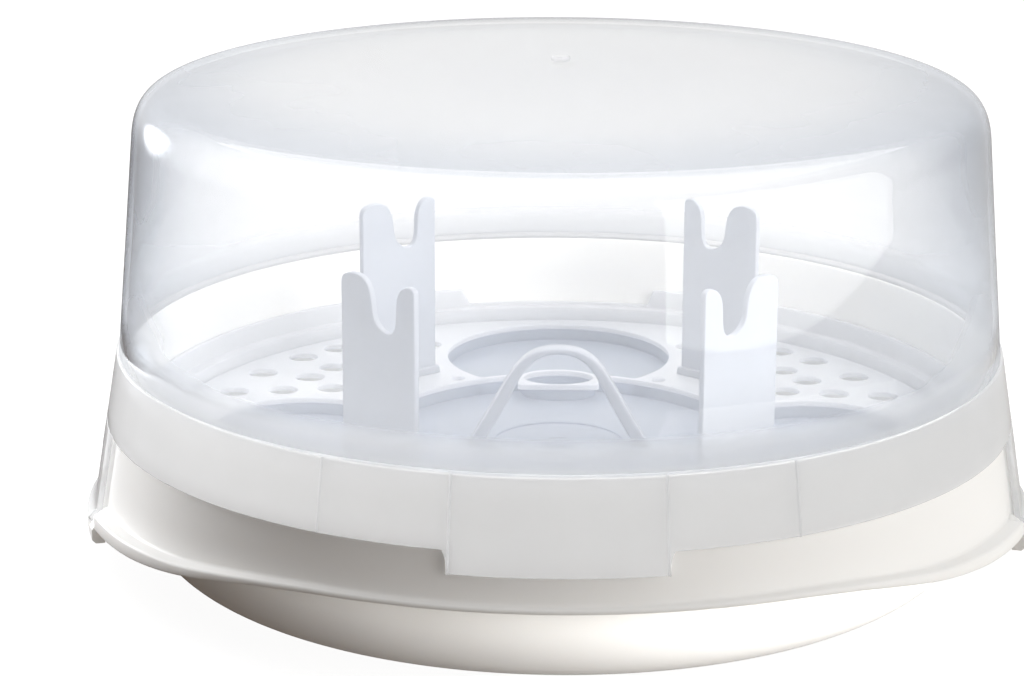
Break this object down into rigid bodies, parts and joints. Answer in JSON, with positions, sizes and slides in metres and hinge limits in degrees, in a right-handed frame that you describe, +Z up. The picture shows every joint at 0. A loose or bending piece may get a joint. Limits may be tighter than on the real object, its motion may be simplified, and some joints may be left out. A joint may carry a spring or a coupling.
{
  "type": "microwave steam sterilizer",
  "caption": "Round microwave steam sterilizer: clear domed lid with frosted collar and side latches over a bottle rack with notched posts and a white water bowl base.",
  "frame": {"origin": "centre of the foot, on the table", "axes": "+Z up, -Y towards the front tab of the lid, +X through the right latch"},
  "size_m": [0.2964, 0.287, 0.1555],
  "materials": {
    "white_pp": "satin moulded white polypropylene",
    "rack_pp": "milky translucent polypropylene",
    "clear_pp": "polished clear polypropylene",
    "frosted_pp": "frosted translucent polypropylene",
    "latch_pp": "lightly frosted translucent polypropylene"
  },
  "bodies": {
    "base": {"base_bowl": "white_pp", "base_skirt": "white_pp", "base_grip_left": "white_pp", "base_grip_right": "white_pp", "base_lug_left": "white_pp", "base_lug_right": "white_pp"},
    "rack": {"rack_deck": "rack_pp", "rack_well_centre": "rack_pp", "rack_well_right": "rack_pp", "rack_well_back": "rack_pp", "rack_well_left": "rack_pp", "rack_well_front": "rack_pp", "rack_rim": "rack_pp", "post_front_left": "rack_pp", "post_front_right": "rack_pp", "post_back_left": "rack_pp", "post_back_right": "rack_pp", "rack_handle": "rack_pp"},
    "lid": {"lid_dome": "clear_pp", "lid_collar": "frosted_pp", "lid_front_tab": "frosted_pp", "lid_rear_tab": "frosted_pp"},
    "latch_left": {"latch_left": "latch_pp"},
    "latch_right": {"latch_right": "latch_pp"}
  },
  "joints": [
    {"name": "rack_lift", "type": "slide", "parent": "base", "child": "rack", "axis": [0, 0, 1], "range_m": [0, 0.16]},
    {"name": "lid_lift", "type": "slide", "parent": "rack", "child": "lid", "axis": [0, 0, 1], "range_m": [0, 0.16]},
    {"name": "latch_left_hinge", "type": "hinge", "parent": "lid", "child": "latch_left", "pos_m": [-0.1422, 0, 0.0447], "axis": [0, 1, 0], "range_deg": [0, 12], "stiffness_Nm_per_rad": 0.02},
    {"name": "latch_right_hinge", "type": "hinge", "parent": "lid", "child": "latch_right", "pos_m": [0.1422, 0, 0.0447], "axis": [0, -1, 0], "range_deg": [0, 12], "stiffness_Nm_per_rad": 0.02}
  ]
}
